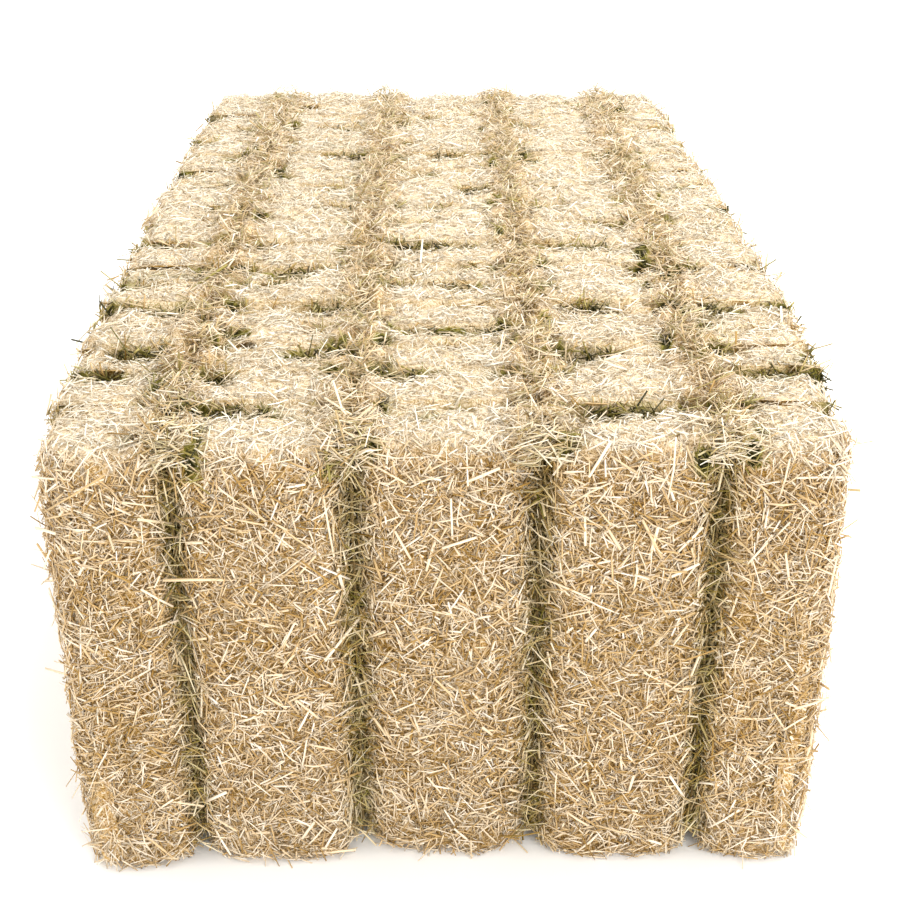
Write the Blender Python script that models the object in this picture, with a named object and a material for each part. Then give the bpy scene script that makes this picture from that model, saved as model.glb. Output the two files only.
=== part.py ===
"""A large square straw bale, lying lengthwise with its near end towards -Y.

The bale is a row of flakes, the slices that a baler's plunger packs one behind another.
Four closed loops of twine run round the row lengthwise and pull it into five soft lobes,
deep on the two ends, shallow on the top and the underside. The origin is on the ground,
under the middle of the bale.
"""

import bisect
import math
import random

import bmesh
import bpy

# Driving dimensions, in metres.
WIDTH = 0.82
HEIGHT = 0.54
FLAKE_THICKNESS = (
    0.112, 0.085, 0.060, 0.063, 0.060, 0.075, 0.055, 0.080, 0.088,
    0.080, 0.092, 0.083, 0.072, 0.077, 0.092, 0.066, 0.072, 0.098,
)
LENGTH = sum(FLAKE_THICKNESS)
TWINE_PLACES = (-0.276, -0.096, 0.095, 0.275)
TWINE_RADIUS = 0.0018

# How far the lobes of an end stand back from its foremost point, and how deep the twine
# has cut in between them.
FRONT_LOBE_BACK = (0.000, 0.010, 0.024, 0.015, 0.010)
FRONT_TWINE_DEPTH = (0.046, 0.060, 0.062, 0.052)
REAR_LOBE_BACK = (0.008, 0.000, 0.010, 0.004, 0.012)
REAR_TWINE_DEPTH = (0.048, 0.044, 0.052, 0.045)

# How far each side stands in from the full width, by the share of the length from the
# near end: the middle of the bale swells, and its far right corner has slumped.
LEFT_SIDE = ((0.0, 0.010), (0.2, 0.001), (0.7, 0.0), (1.0, 0.008))
RIGHT_SIDE = ((0.0, 0.010), (0.12, 0.0), (0.55, 0.0), (0.8, 0.018), (1.0, 0.034))

# The section across a twine line on the top: loose straw stands up in a crest on both
# sides of it, and the pads dip a little beside the crests.
CREST_RISE = 0.010
CREST_LEAST = 0.35
CREST_REACH = 0.014
PAD_REACH = 0.038
PAD_DIP = 0.005
TOP_TWINE_DEPTH = 0.008
UNDER_TWINE_DEPTH = 0.018
LOBE_CROWN = 0.003

# How much of a twine's depth a groove has at CREST_REACH and at PAD_REACH from the twine.
SLOPE_SHARE = 0.30
LIP_SHARE = 0.08

# Edges and clearances.
CORNER_RADIUS = 0.026
UNDER_CORNER_RADIUS = 0.016
END_RADIUS = 0.028
UNDER_RADIUS = 0.014
END_SIDE_INSET = 0.006
TWINE_CLEARANCE = 0.006
FLAKE_GAP = 0.0004

# How irregular the flakes are.
WANDER = 0.007
SIDE_STEP_LEFT = 0.005
SIDE_STEP_RIGHT = 0.011
STEP_SHARES = (0.0, 0.3, 0.6, 1.0)
TOP_STEP = 0.006
END_SWELL = 0.004
CREVICE_SHALLOW = 0.005
CREVICE_DEEP = 0.020
GROOVE_DRAW = 0.4
SHOULDER_SHARE = 0.20
SHOULDER_SPREAD = 0.3
SIDE_ROWS = 4
ROW_MARGIN = 0.06
TWINE_CORNER_STEPS = 6
SAME_PLACE = 1e-6
SEED = 7

PAD_TOP = HEIGHT - CREST_RISE
HALF_WIDTH = WIDTH / 2
DIAGONAL = 1 - math.sqrt(0.5)


def lobe_edges():
    """The x of the two sides and of the four twine lines, from left to right."""
    return (-HALF_WIDTH, *TWINE_PLACES, HALF_WIDTH)


def lobe_middle(index):
    edges = lobe_edges()
    return (edges[index] + edges[index + 1]) / 2


def along_line(places, x):
    """The height at x of a line through (x, height) places, straight beyond its ends."""
    last = len(places) - 2
    index = min(max(bisect.bisect_right(places, (x, math.inf)) - 1, 0), last)
    (x0, y0), (x1, y1) = places[index : index + 2]
    return y0 + (y1 - y0) * (x - x0) / (x1 - x0)


class Parting:
    """The face between two flakes: y depends on x alone, straight between its knots."""

    def __init__(self, y, wander, chance):
        inner = [TWINE_PLACES[0]]
        for index in (1, 2, 3):
            inner += [lobe_middle(index), TWINE_PLACES[index]]
        self.y = y
        self.knots = [-HALF_WIDTH, *inner, HALF_WIDTH]
        self.places = [(x, y + chance.uniform(-wander, wander)) for x in self.knots]

    def y_at(self, x):
        return along_line(self.places, x)


class Outline:
    """The section of one flake across the bale, as rows of points from left to right.

    Each point is (x, z, way_x, way_z), where the way points into the straw.
    """

    def __init__(self, share, chance, full_underside):
        left_in = along_line(LEFT_SIDE, share) + SIDE_STEP_LEFT * chance.choice(STEP_SHARES)
        right_in = along_line(RIGHT_SIDE, share) + SIDE_STEP_RIGHT * chance.choice(STEP_SHARES)
        self.left = left_in - HALF_WIDTH
        self.right = HALF_WIDTH - right_in
        self.pad = PAD_TOP - chance.uniform(0, TOP_STEP)
        self.top = self.top_row(chance)
        self.under = self.under_row(full_underside)
        self.left_side = self.side_column(self.left, 1.0)
        self.right_side = self.side_column(self.right, -1.0)

    def corner(self, side, inward, level, down):
        """The middle of a rounded corner, on the diagonal."""
        step = (CORNER_RADIUS if down < 0 else UNDER_CORNER_RADIUS) * DIAGONAL
        return (side + inward * step, level + down * step, inward, down)

    def top_row(self, chance):
        floor = PAD_TOP - TOP_STEP - TOP_TWINE_DEPTH
        row = [self.corner(self.left, 1.0, self.pad, -1.0)]
        row.append((self.left + CORNER_RADIUS, self.pad, 0.0, -1.0))
        for index, x in enumerate(TWINE_PLACES):
            row.append((x - PAD_REACH, self.pad - chance.uniform(0, PAD_DIP), 0.0, -1.0))
            row.append((x - CREST_REACH, self.pad + CREST_RISE * chance.uniform(CREST_LEAST, 1), 0.0, -1.0))
            row.append((x, floor, 0.0, -GROOVE_DRAW))
            row.append((x + CREST_REACH, self.pad + CREST_RISE * chance.uniform(CREST_LEAST, 1), 0.0, -1.0))
            row.append((x + PAD_REACH, self.pad - chance.uniform(0, PAD_DIP), 0.0, -1.0))
            if index < len(TWINE_PLACES) - 1:
                crown = self.pad + chance.uniform(0, LOBE_CROWN)
                row.append((lobe_middle(index + 1), crown, 0.0, -1.0))
        row.append((self.right - CORNER_RADIUS, self.pad, 0.0, -1.0))
        row.append(self.corner(self.right, -1.0, self.pad, -1.0))
        return row

    def under_row(self, full):
        """The underside is flat where it rests, and lifts over each twine."""
        row = [self.corner(self.left, 1.0, 0.0, 1.0)]
        row.append((self.left + UNDER_CORNER_RADIUS, 0.0, 0.0, 1.0))
        for index, x in enumerate(TWINE_PLACES):
            row.append((x - PAD_REACH, 0.0, 0.0, 1.0))
            if full:
                row.append((x - CREST_REACH, UNDER_TWINE_DEPTH * SLOPE_SHARE, 0.0, 1.0))
            row.append((x, UNDER_TWINE_DEPTH, 0.0, GROOVE_DRAW))
            if full:
                row.append((x + CREST_REACH, UNDER_TWINE_DEPTH * SLOPE_SHARE, 0.0, 1.0))
            row.append((x + PAD_REACH, 0.0, 0.0, 1.0))
            if index < len(TWINE_PLACES) - 1:
                row.append((lobe_middle(index + 1), 0.0, 0.0, 1.0))
        row.append((self.right - UNDER_CORNER_RADIUS, 0.0, 0.0, 1.0))
        row.append(self.corner(self.right, -1.0, 0.0, 1.0))
        return row

    def side_column(self, x, inward):
        """Points down one side, from just under the top corner to just over the lower one."""
        high = self.pad - CORNER_RADIUS
        low = UNDER_CORNER_RADIUS
        steps = [row / (SIDE_ROWS - 1) for row in range(SIDE_ROWS)]
        return [(x, high + (low - high) * step, inward, 0.0) for step in steps]

    def around(self):
        """All the points in one closed ring: top, right side, underside, left side."""
        return self.top + self.right_side + self.under[::-1] + self.left_side[::-1]


def ring_at(mesh, outline, depths, y_at):
    """Adds the ring whose point i lies depths[i] inside the outline, at y_at(x)."""
    ring = []
    for (x, z, way_x, way_z), depth in zip(outline.around(), depths):
        inner_x = x + way_x * depth
        ring.append(mesh.verts.new((inner_x, y_at(inner_x), z + way_z * depth)))
    return ring


def join_rings(mesh, one, other):
    """A band of faces between two rings."""
    for index in range(len(one)):
        after = (index + 1) % len(one)
        mesh.faces.new((one[index], other[index], other[after], one[after]))


def close_ring(mesh, ring, knots, outline):
    """Fills a ring with one flat face for each strip between two knots of the parting."""
    count_top = len(outline.top)
    count_under = len(outline.under)
    top = ring[:count_top]
    right = ring[count_top : count_top + SIDE_ROWS]
    under = ring[count_top + SIDE_ROWS : count_top + SIDE_ROWS + count_under][::-1]
    left = ring[count_top + SIDE_ROWS + count_under :]
    for index in range(len(knots) - 1):
        first, last = index == 0, index == len(knots) - 2
        low = -math.inf if first else knots[index] - SAME_PLACE
        high = math.inf if last else knots[index + 1] + SAME_PLACE
        loop = [vert for vert in top if low <= vert.co.x <= high]
        loop += right if last else []
        loop += [vert for vert in under if low <= vert.co.x <= high][::-1]
        loop += left if first else []
        mesh.faces.new(loop)


def crevice_depths(outline, chance):
    """How far each point of a flake's edge is drawn in where it meets its neighbour."""
    return [chance.uniform(CREVICE_SHALLOW, CREVICE_DEEP) for _ in outline.around()]


def make_object(name, mesh, material):
    """Turns the faces outwards and makes the mesh an object of this name."""
    bmesh.ops.recalc_face_normals(mesh, faces=mesh.faces)
    data = bpy.data.meshes.new(name)
    mesh.to_mesh(data)
    mesh.free()
    data.materials.append(material)
    obj = bpy.data.objects.new(name, data)
    bpy.context.collection.objects.link(obj)
    return obj


def inner_flake(name, near, far, material, chance):
    """A slab with softly drawn-in edges, between the partings near and far."""
    mesh = bmesh.new()
    outline = Outline(near.y / LENGTH + 0.5, chance, full_underside=False)
    none = [0.0] * len(outline.around())

    def between(share):
        return lambda x: near.y_at(x) * (1 - share) + far.y_at(x) * share

    shoulder = SHOULDER_SHARE * (1 + chance.uniform(-SHOULDER_SPREAD, SHOULDER_SPREAD))
    rings = [
        ring_at(mesh, outline, crevice_depths(outline, chance), lambda x: near.y_at(x) + FLAKE_GAP / 2),
        ring_at(mesh, outline, none, between(shoulder)),
        ring_at(mesh, outline, none, between(1 - shoulder)),
        ring_at(mesh, outline, crevice_depths(outline, chance), lambda x: far.y_at(x) - FLAKE_GAP / 2),
    ]
    for ring, after in zip(rings, rings[1:]):
        join_rings(mesh, ring, after)
    close_ring(mesh, rings[0], near.knots, outline)
    close_ring(mesh, rings[-1], far.knots, outline)
    return make_object(name, mesh, material)


class EndShape:
    """How far an end stands in from the bale's full length, across its width."""

    def __init__(self, lobe_back, twine_depth):
        self.places = []
        edges = lobe_edges()
        for index, back in enumerate(lobe_back):
            if index > 0:
                depth = twine_depth[index - 1]
                fore = min(lobe_back[index - 1], back)
                self.places.append((edges[index], depth))
                for sign, lobe in ((-1, lobe_back[index - 1]), (1, back)):
                    slope = lobe + (depth - fore) * SLOPE_SHARE
                    self.places.append((edges[index] + sign * CREST_REACH, slope))
                    self.places.append((edges[index] + sign * PAD_REACH, lobe + (depth - fore) * LIP_SHARE))
            self.places.append((lobe_middle(index), back))
        self.places.append((-HALF_WIDTH, lobe_back[0] + END_SIDE_INSET))
        self.places.append((HALF_WIDTH, lobe_back[-1] + END_SIDE_INSET))
        self.places.sort()

    def inset_at(self, x):
        return along_line(self.places, x)


def end_flake(name, parting, shape, end_y, out, material, chance):
    """A flake at an end: out is -1 at the near end and 1 at the rear one.

    Its outer face is a grid with a column for each point of the top row, rounded over
    into the top, the sides and the underside.
    """
    mesh = bmesh.new()
    outline = Outline(0.0 if out < 0 else 1.0, chance, full_underside=True)
    points = outline.around()
    none = [0.0] * len(points)
    thickness = abs(end_y - parting.y_at(0.0))

    def face_y(x, extra=0.0):
        return end_y - out * (shape.inset_at(x) + extra)

    def parted_y(x):
        return parting.y_at(x) + out * FLAKE_GAP / 2

    def shoulder_y(x):
        """Where the drawn-in edge ends: half the way to the rounding where a groove is near."""
        room = abs(face_y(x, END_RADIUS) - parting.y_at(x))
        return parting.y_at(x) + out * min(SHOULDER_SHARE * thickness, room / 2)

    def rounding(depth, extra):
        """A ring on the rounded edge, for a radius of one. It is tighter underneath."""
        ring = []
        for x, z, way_x, way_z in points:
            radius = UNDER_RADIUS if way_z > 0 else END_RADIUS
            inward = math.copysign(depth * radius, way_z) if way_z else 0.0
            spot = (x + way_x * depth * radius, face_y(x, extra * radius), z + inward)
            ring.append(mesh.verts.new(spot))
        return ring

    rings = [
        ring_at(mesh, outline, crevice_depths(outline, chance), parted_y),
        ring_at(mesh, outline, none, shoulder_y),
        rounding(0.0, 1.0),
        rounding(DIAGONAL, DIAGONAL),
        rounding(1.0, 0.0),
    ]
    for ring, after in zip(rings, rings[1:]):
        join_rings(mesh, ring, after)
    close_ring(mesh, rings[0], parting.knots, outline)
    fill_end(mesh, rings[-1], len(outline.top), face_y, chance)
    return make_object(name, mesh, material)


def fill_end(mesh, ring, columns, face_y, chance):
    """The outer face of an end flake, row by row from the top edge to the lower one."""
    top = ring[:columns]
    right = ring[columns : columns + SIDE_ROWS]
    under = ring[columns + SIDE_ROWS : 2 * columns + SIDE_ROWS][::-1]
    left = ring[2 * columns + SIDE_ROWS :][::-1]
    rows = [top]
    for row in range(SIDE_ROWS):
        verts = [left[row]]
        for column in range(1, columns - 1):
            above, below = top[column].co, under[column].co
            share = (above.z - left[row].co.z) / (above.z - below.z)
            spot = above.lerp(below, min(max(share, ROW_MARGIN), 1 - ROW_MARGIN))
            in_groove = any(abs(spot.x - x) < CREST_REACH / 2 for x in TWINE_PLACES)
            spot.y = face_y(spot.x, 0.0 if in_groove else chance.uniform(0.0, END_SWELL))
            verts.append(mesh.verts.new(spot))
        verts.append(right[row])
        rows.append(verts)
    rows.append(under)
    for upper, lower in zip(rows, rows[1:]):
        for column in range(columns - 1):
            mesh.faces.new((upper[column], lower[column], lower[column + 1], upper[column + 1]))


def twine_loop(name, x, front_inset, rear_inset, material):
    """A closed loop round the bale: a rectangle in the YZ plane with rounded corners."""
    low_y = -LENGTH / 2 + front_inset - TWINE_CLEARANCE
    high_y = LENGTH / 2 - rear_inset + TWINE_CLEARANCE
    low_z = UNDER_TWINE_DEPTH - TWINE_CLEARANCE
    high_z = PAD_TOP - TOP_STEP - TOP_TWINE_DEPTH + TWINE_CLEARANCE
    under = UNDER_RADIUS + TWINE_CLEARANCE
    over = END_RADIUS + TWINE_CLEARANCE
    corners = (
        (low_y + under, low_z + under, under, 180),
        (high_y - under, low_z + under, under, 270),
        (high_y - over, high_z - over, over, 0),
        (low_y + over, high_z - over, over, 90),
    )
    path = []
    for centre_y, centre_z, radius, start in corners:
        for step in range(TWINE_CORNER_STEPS + 1):
            angle = math.radians(start + 90 * step / TWINE_CORNER_STEPS)
            spot_y = centre_y + radius * math.cos(angle)
            path.append((x, spot_y, centre_z + radius * math.sin(angle)))
    curve = bpy.data.curves.new(name, "CURVE")
    curve.dimensions = "3D"
    curve.bevel_depth = TWINE_RADIUS
    curve.bevel_resolution = 1
    spline = curve.splines.new("POLY")
    spline.points.add(len(path) - 1)
    for point, spot in zip(spline.points, path):
        point.co = (*spot, 1.0)
    spline.use_cyclic_u = True
    curve.materials.append(material)
    obj = bpy.data.objects.new(name, curve)
    bpy.context.collection.objects.link(obj)
    return obj


def plain_material(name, colour, roughness):
    material = bpy.data.materials.new(name)
    material.use_nodes = True
    shader = material.node_tree.nodes["Principled BSDF"]
    shader.inputs["Base Color"].default_value = (*colour, 1.0)
    shader.inputs["Roughness"].default_value = roughness
    shader.inputs["Metallic"].default_value = 0.0
    return material


def main():
    for obj in list(bpy.data.objects):
        bpy.data.objects.remove(obj)
    chance = random.Random(SEED)
    straw = plain_material("straw", (0.66, 0.53, 0.33), 0.75)
    twine = plain_material("twine", (0.30, 0.22, 0.09), 0.8)

    last = len(FLAKE_THICKNESS) - 1
    y = -LENGTH / 2
    partings = []
    for thickness in FLAKE_THICKNESS[:-1]:
        y += thickness
        partings.append(Parting(y, WANDER, chance))

    front = EndShape(FRONT_LOBE_BACK, FRONT_TWINE_DEPTH)
    rear = EndShape(REAR_LOBE_BACK, REAR_TWINE_DEPTH)
    end_flake("flake_01", partings[0], front, -LENGTH / 2, -1, straw, chance)
    for index in range(1, last):
        name = f"flake_{index + 1:02d}"
        inner_flake(name, partings[index - 1], partings[index], straw, chance)
    end_flake(f"flake_{last + 1:02d}", partings[-1], rear, LENGTH / 2, 1, straw, chance)

    for index, x in enumerate(TWINE_PLACES):
        insets = (FRONT_TWINE_DEPTH[index], REAR_TWINE_DEPTH[index])
        twine_loop(f"twine_{index + 1}", x, *insets, twine)


main()
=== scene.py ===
"""The looks of a large square straw bale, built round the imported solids.

Every flake gets a bed, a softened copy of its solid that the straw is packed into, and
thousands of cut stalks, splinters and fibres laid on it. The twines are laid strands.
Lengths are metres. All shapes are worked out as whole arrays with numpy.
"""

import math
from collections import namedtuple

import bpy
import numpy as np
from mathutils import Matrix, Vector


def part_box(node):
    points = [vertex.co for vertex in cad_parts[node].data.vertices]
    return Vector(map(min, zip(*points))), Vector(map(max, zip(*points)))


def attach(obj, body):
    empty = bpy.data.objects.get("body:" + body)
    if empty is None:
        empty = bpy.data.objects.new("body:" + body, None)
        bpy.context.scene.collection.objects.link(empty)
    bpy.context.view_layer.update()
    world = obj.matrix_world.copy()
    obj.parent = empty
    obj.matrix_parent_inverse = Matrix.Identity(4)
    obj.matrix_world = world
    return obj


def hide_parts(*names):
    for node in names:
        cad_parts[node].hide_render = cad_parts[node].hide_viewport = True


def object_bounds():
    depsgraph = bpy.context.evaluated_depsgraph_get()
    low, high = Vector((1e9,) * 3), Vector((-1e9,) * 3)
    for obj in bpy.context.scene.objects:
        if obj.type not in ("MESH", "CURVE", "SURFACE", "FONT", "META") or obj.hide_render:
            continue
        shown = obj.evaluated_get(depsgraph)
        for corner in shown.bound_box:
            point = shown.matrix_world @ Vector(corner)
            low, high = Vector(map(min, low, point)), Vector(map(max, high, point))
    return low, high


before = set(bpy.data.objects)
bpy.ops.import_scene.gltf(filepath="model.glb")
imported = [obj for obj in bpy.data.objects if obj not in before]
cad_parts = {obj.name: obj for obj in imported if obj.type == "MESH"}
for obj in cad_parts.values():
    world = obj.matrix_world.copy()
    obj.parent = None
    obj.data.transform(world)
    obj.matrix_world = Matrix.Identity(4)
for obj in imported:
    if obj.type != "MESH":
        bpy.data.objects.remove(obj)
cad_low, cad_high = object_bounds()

FLAKES = sorted(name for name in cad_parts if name.startswith("flake"))
TWINES = sorted(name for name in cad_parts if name.startswith("twine"))
TOP = cad_high.z
TWINE_X = [(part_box(name)[0].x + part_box(name)[1].x) / 2 for name in TWINES]

# Camera, found from the corners, grooves and outline seen in the photograph.
LENS = 58.47
CAMERA_PLACE = (-0.0054, -1.9372, 1.1685)
CAMERA_DOWN = 27.48
CAMERA_TURN = -0.39
SENSOR = 36.0
CLIP_START = 0.02

# Soft lamps: name, place, size and power. All point at LAMP_AIM.
LAMPS = (
    ("high_lamp", (0.9, 0.5, 2.6), 1.8, 53.0),
    ("near_lamp", (1.6, -3.5, 2.0), 1.4, 52.0),
)
LAMP_AIM = (0.0, -0.35, 0.35)
SKY_STRENGTH = 1.50
SKY_COLOUR = (1.0, 0.99, 0.97, 1.0)
FLOOR_COLOUR = (0.95, 0.95, 0.945, 1.0)
FLOOR_SIZE = 60

# Random heights are sums of this many waves, of lengths spread by these shares.
WAVES = 24
WAVE_SPREAD = (0.7, 1.5)
WAVE_RISE = 3.4

# The starts of everything random.
BIG_LUMP_SEED = 11
SMALL_LUMP_SEED = 12
OPEN_SEED = 31
HOLE_SEED = 33
TUFT_SEED = 41
FLAKE_SEED = 100
TWINE_SEED = 200

# The bed under the stalks: its grid, how far it rounds and sinks, its lowest point, its two sizes of
# lump, and how much less than the stalks it is bleached, which partly paints shade into the gaps between
# the stalks.
BED_STEPS = 5
BED_SOFTNESS = 0.7
BED_PULL = 0.005
BED_SINK = 0.0045
BIG_LUMP = 0.075
BIG_LUMP_RISE = 0.0028
SMALL_LUMP = 0.024
SMALL_LUMP_RISE = 0.0016
BED_FLOOR = 0.001
SINK_SLOPE = 1.5
BED_BLEACH_AND_SHADE = 0.5

# The cracks between flakes: how near to a parting they are, how long an open stretch is,
# between which random heights it opens, and how far down the sides it does so.
CRACK_REACH = 0.020
CRACK_LINE = 0.009
OPEN_LENGTH = 0.11
OPEN_FROM = 0.08
OPEN_FULL = 0.42
OPEN_DOWN = 0.10
OPEN_FADE = 0.05
OPEN_LEAST = 0.15

# Where a crack is shut, the skins beside it are filled out, but not near the long edges
# or in the twine grooves.
SHUT_FILL = 0.93
FILL_LIMIT = 0.026
FILL_GAIN = 1.5
FILL_AWAY = 0.010
FILL_FADE = 0.016
FILL_TWINE = 0.010

# Where a crack is open, the nearer flake dips behind and the wall of the next one shows.
DIP_REACH = 0.023
DIP_DEPTH = 0.028
WALL_BAND = 0.036
WALL_SHARE = 3
WALL_LAP = 0.004
WALL_FOOT = 0.01
WALL_INSET = 0.02

# Which faces of a flake are shared with its neighbours, and where its top is level.
SHARED_FACING = 0.93
SHARED_BAND = 0.025
EDGE_ROUND = 0.026
EDGE_NEAR = 0.002

# Holes beside the twine lines on the top: their place, size, depth, the random heights
# where they are, and how much more of them a crack makes.
HOLE_AWAY = 0.025
HOLE_HALF = 0.009
HOLE_LENGTH = 0.055
HOLE_SINK = 0.018
HOLE_FROM = 0.40
HOLE_FULL = 0.3
HOLE_AT_CRACK = 0.5
HOLE_REACH = 0.022
HOLE_DOWN = 0.06
HOLE_FADE = 0.02

# The grooves of the two ends: where the imported straw in them counts as sunk, for painted shade and for
# leaving stalks out.
GROOVE_HALF = 0.0145
GROOVE_LENGTH = 0.10
GROOVE_FADE = 0.05
GROOVE_LIP = 0.014
GROOVE_SINK = 0.020

# How much shade is painted into cracks, holes and grooves, from 0 to 1, and how fast that comes below a
# lip.
SHUT_DARK = 0.2
DIP_DARK = 1.4
HOLE_DARK = 1.4
GROOVE_PAINTED_SHADE = 0.38
LIP_DEPTH = 0.003
LIP_LEAST = 0.05
WALL_DARK = 0.005
WALL_LINE = 0.003
WALL_SHUT = 0.6

# The share of stalks that is left out in cracks, holes and grooves.
BARE_SHARE = 0.78
BARE_CRACK = 0.5
BARE_GROOVE = 0.45
BARE_REACH = 0.012
BARE_SLOPE = 1.8
BARE_FROM = 0.45

# Bleaching by the sun: how it falls off from the upright, how much of it is missing by the twine lines,
# and how it grows from the lowest stalks to the uppermost, which also paints the warm shade between
# stalks.
BLEACH_POWER = 1.5
LINE_UNBLEACHED = 0.75
LINE_HALF = 0.024
BLEACH_AND_SHADE_LOW = 0.55
BLEACH_AND_SHADE_LIFT = 0.45
BLEACH_LEAST = 0.8

# The tone and painted shade of single stalks, and how the straw along the cracks differs.
TONE_SHAPE = 2.2
PAINTED_SHADE_LEAST = 0.1
PAINTED_SHADE_POWER = 0.35
STEM_TONE_LOW = 0.4
STEM_TONE_SPREAD = 0.5
EDGE_REACH = 0.016
EDGE_TURN = 0.45
EDGE_PAINTED_SHADE = 0.45

# How far a stalk may stand out of the box round the solids, and its least height.
REACH = 0.020
FLOOR = 0.0006

# Kinds of straw. `amounts` are to a square metre of each kind of surface: the near end, the
# far end, the top, the sides, the underside and the walls of the cracks between flakes.
# `length` and `width` are a middle value, a spread and two limits; `flat` is thickness to
# width; `height` is over the bed; `tilt` and `bend` are spreads. Widths grow with GROWTH and
# lengths with its square. The sides have FRONT_MORE times as much straw again up to
# FRONT_STRIP from the near end.
SURFACES = ("near", "far", "top", "side", "under", "crack")
GROWTH = dict(near=1.0, far=1.2, top=0.87, side=1.2, under=1.4, crack=1.0)
FRONT_STRIP = 0.18
FRONT_FADE = 0.05
FRONT_MORE = 1.5
STALK_SIDES = 3
STEM_SIDES = 6
Straw = namedtuple("Straw", "amounts length width flat height tilt bend taper")
SPLINTER = Straw(
    dict(near=58000, far=8500, top=57500, side=9000, under=2000, crack=12000),
    (0.0118, 0.42, 0.005, 0.032), (0.00155, 0.30, 0.0008, 0.0030),
    (0.4, 0.8), (-0.001, 0.0050), 0.18, 0.0, 0.0)
CUT = Straw(
    dict(near=27500, far=4600, top=12000, side=3900, under=700, crack=4500),
    (0.017, 0.38, 0.008, 0.046), (0.0020, 0.24, 0.0012, 0.0034),
    (0.45, 0.95), (0.001, 0.0070), 0.17, 0.0, 0.35)
BENT = Straw(
    dict(near=3600, far=700, top=1000, side=500, under=0, crack=300),
    (0.030, 0.35, 0.014, 0.070), (0.0020, 0.22, 0.0012, 0.0032),
    (0.4, 0.8), (0.002, 0.0080), 0.20, 0.06, 0.5)
STEM = Straw(
    dict(near=230, far=150, top=20, side=90, under=0, crack=0),
    (0.034, 0.35, 0.018, 0.080), (0.0029, 0.16, 0.0022, 0.0042),
    (0.6, 0.95), (0.0040, 0.0085), 0.13, 0.02, 0.15)
STRAY = Straw(
    dict(near=350, far=250, top=400, side=230, under=0, crack=0),
    (0.026, 0.35, 0.012, 0.045), (0.0016, 0.25, 0.0009, 0.0026),
    (0.4, 0.8), (0.004, 0.009), 0.75, 0.08, 0.6)
EDGE = Straw(
    dict(near=0, far=0, top=2300, side=900, under=0, crack=1200),
    (0.032, 0.32, 0.016, 0.060), (0.0017, 0.25, 0.0010, 0.0028),
    (0.4, 0.8), (0.001, 0.0060), 0.10, 0.0, 0.5)
RIDGE = Straw(
    {}, (0.021, 0.36, 0.010, 0.046), (0.0018, 0.25, 0.0010, 0.0030),
    (0.4, 0.8), (0.0, 0.0), 0.0, 0.0, 0.5)
DRAPE = Straw(
    {}, (0.034, 0.32, 0.018, 0.068), (0.0019, 0.25, 0.0011, 0.0030),
    (0.4, 0.8), (0.0, 0.0), 0.0, 0.07, 0.5)
FIBRE = Straw(
    dict(near=2800, far=1000, top=1800, side=900, under=0, crack=800),
    (0.022, 0.35, 0.010, 0.042), (0.0008, 0.3, 0.0004, 0.0014),
    (1.0, 1.0), (0.004, 0.008), 0.36, 0.10, 0.0)

# The twine lines. On the top a shaggy ridge of loose straw hides each twine, and at the ends straw hangs
# over the grooves and bridges them here and there. Some shade is painted into this loose straw, most
# into the bridges far inside the grooves.
TUFT_AMOUNT = 2250
TUFT_HALF = 0.018
TUFT_RISE = 0.022
TUFT_SINK = 0.002
TUFT_CLUMP = 0.045
TUFT_MIX = 0.5
TUFT_END = 0.020
MOUND_WIDTH = 1.6
RIDGE_TILT = (0.28, 0.32)
RIDGE_TILT_LIMITS = (-0.2, 1.0)
RIDGE_TONE = (1.8, 2.4)
RIDGE_PAINTED_SHADE = 0.4
RIDGE_BLEACH = 0.5
DRAPE_AMOUNT = 120
DRAPE_DEPTH = 0.060
DRAPE_HALF = 0.012
DRAPE_FROM = 0.008
DRAPE_DROP = 0.016
DRAPE_LOOSE = 0.004
DRAPE_TURN = 0.7
DRAPE_TILT = 0.25
DRAPE_TONE = 2.0
DRAPE_PAINTED_SHADE = 0.3
DRAPE_BLEACH = 0.6
BRIDGE_AMOUNT = 100
BRIDGE_HALF = 0.007
BRIDGE_FROM = 0.25
BRIDGE_LOW = 0.05
BRIDGE_HIGH = 0.87
BRIDGE_POWER = 1.3
BRIDGE_TURN = 0.5
BRIDGE_TILT = 0.6
BRIDGE_PAINTED_SHADE = 0.5

# The laid twines.
STRAND_RADIUS = 0.0009
STRAND_TURN = 0.025
STRAND_STEPS = 7
STRAND_SIDES = 4
TWINE_BEND_LOW = 0.020
TWINE_BEND_HIGH = 0.034
BEND_STEPS = 13
STRANDS = 3

# Colours of straw by tone, from its darkest to its palest: dry, bleached, and the olive of painted
# shade.
DRY_STRAW = (
    (0.00, (0.25, 0.13, 0.014)),
    (0.16, (0.44, 0.255, 0.060)),
    (0.38, (0.67, 0.465, 0.228)),
    (0.62, (0.85, 0.69, 0.475)),
    (0.84, (0.96, 0.83, 0.650)),
    (1.00, (1.00, 0.92, 0.800)),
)
BLEACHED_STRAW = (
    (0.00, (0.65, 0.54, 0.35)),
    (0.35, (0.93, 0.87, 0.73)),
    (1.00, (1.0, 0.95, 0.83)),
)
PAINTED_SHADE_COLOURS = (
    (0.0, (0.12, 0.118, 0.003)),
    (0.5, (0.265, 0.225, 0.013)),
    (1.0, (0.55, 0.44, 0.10)),
)

# By the painted shade: how far the olive painted shade colour takes over, and the painted darkening it
# is multiplied by.
PAINTED_SHADE_SHARE = ((0.0, (0.0, 0.0, 0.0)), (0.45, (0.9, 0.9, 0.9)), (1.0, (1.0, 1.0, 1.0)))
PAINTED_SHADE_DARKENING = ((0.45, (1.0, 1.0, 1.0)), (0.85, (0.14, 0.15, 0.10)))
TWINE_COLOURS = (
    (0.25, (0.10, 0.065, 0.022)),
    (0.55, (0.30, 0.21, 0.085)),
    (0.85, (0.52, 0.39, 0.18)),
)

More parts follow.
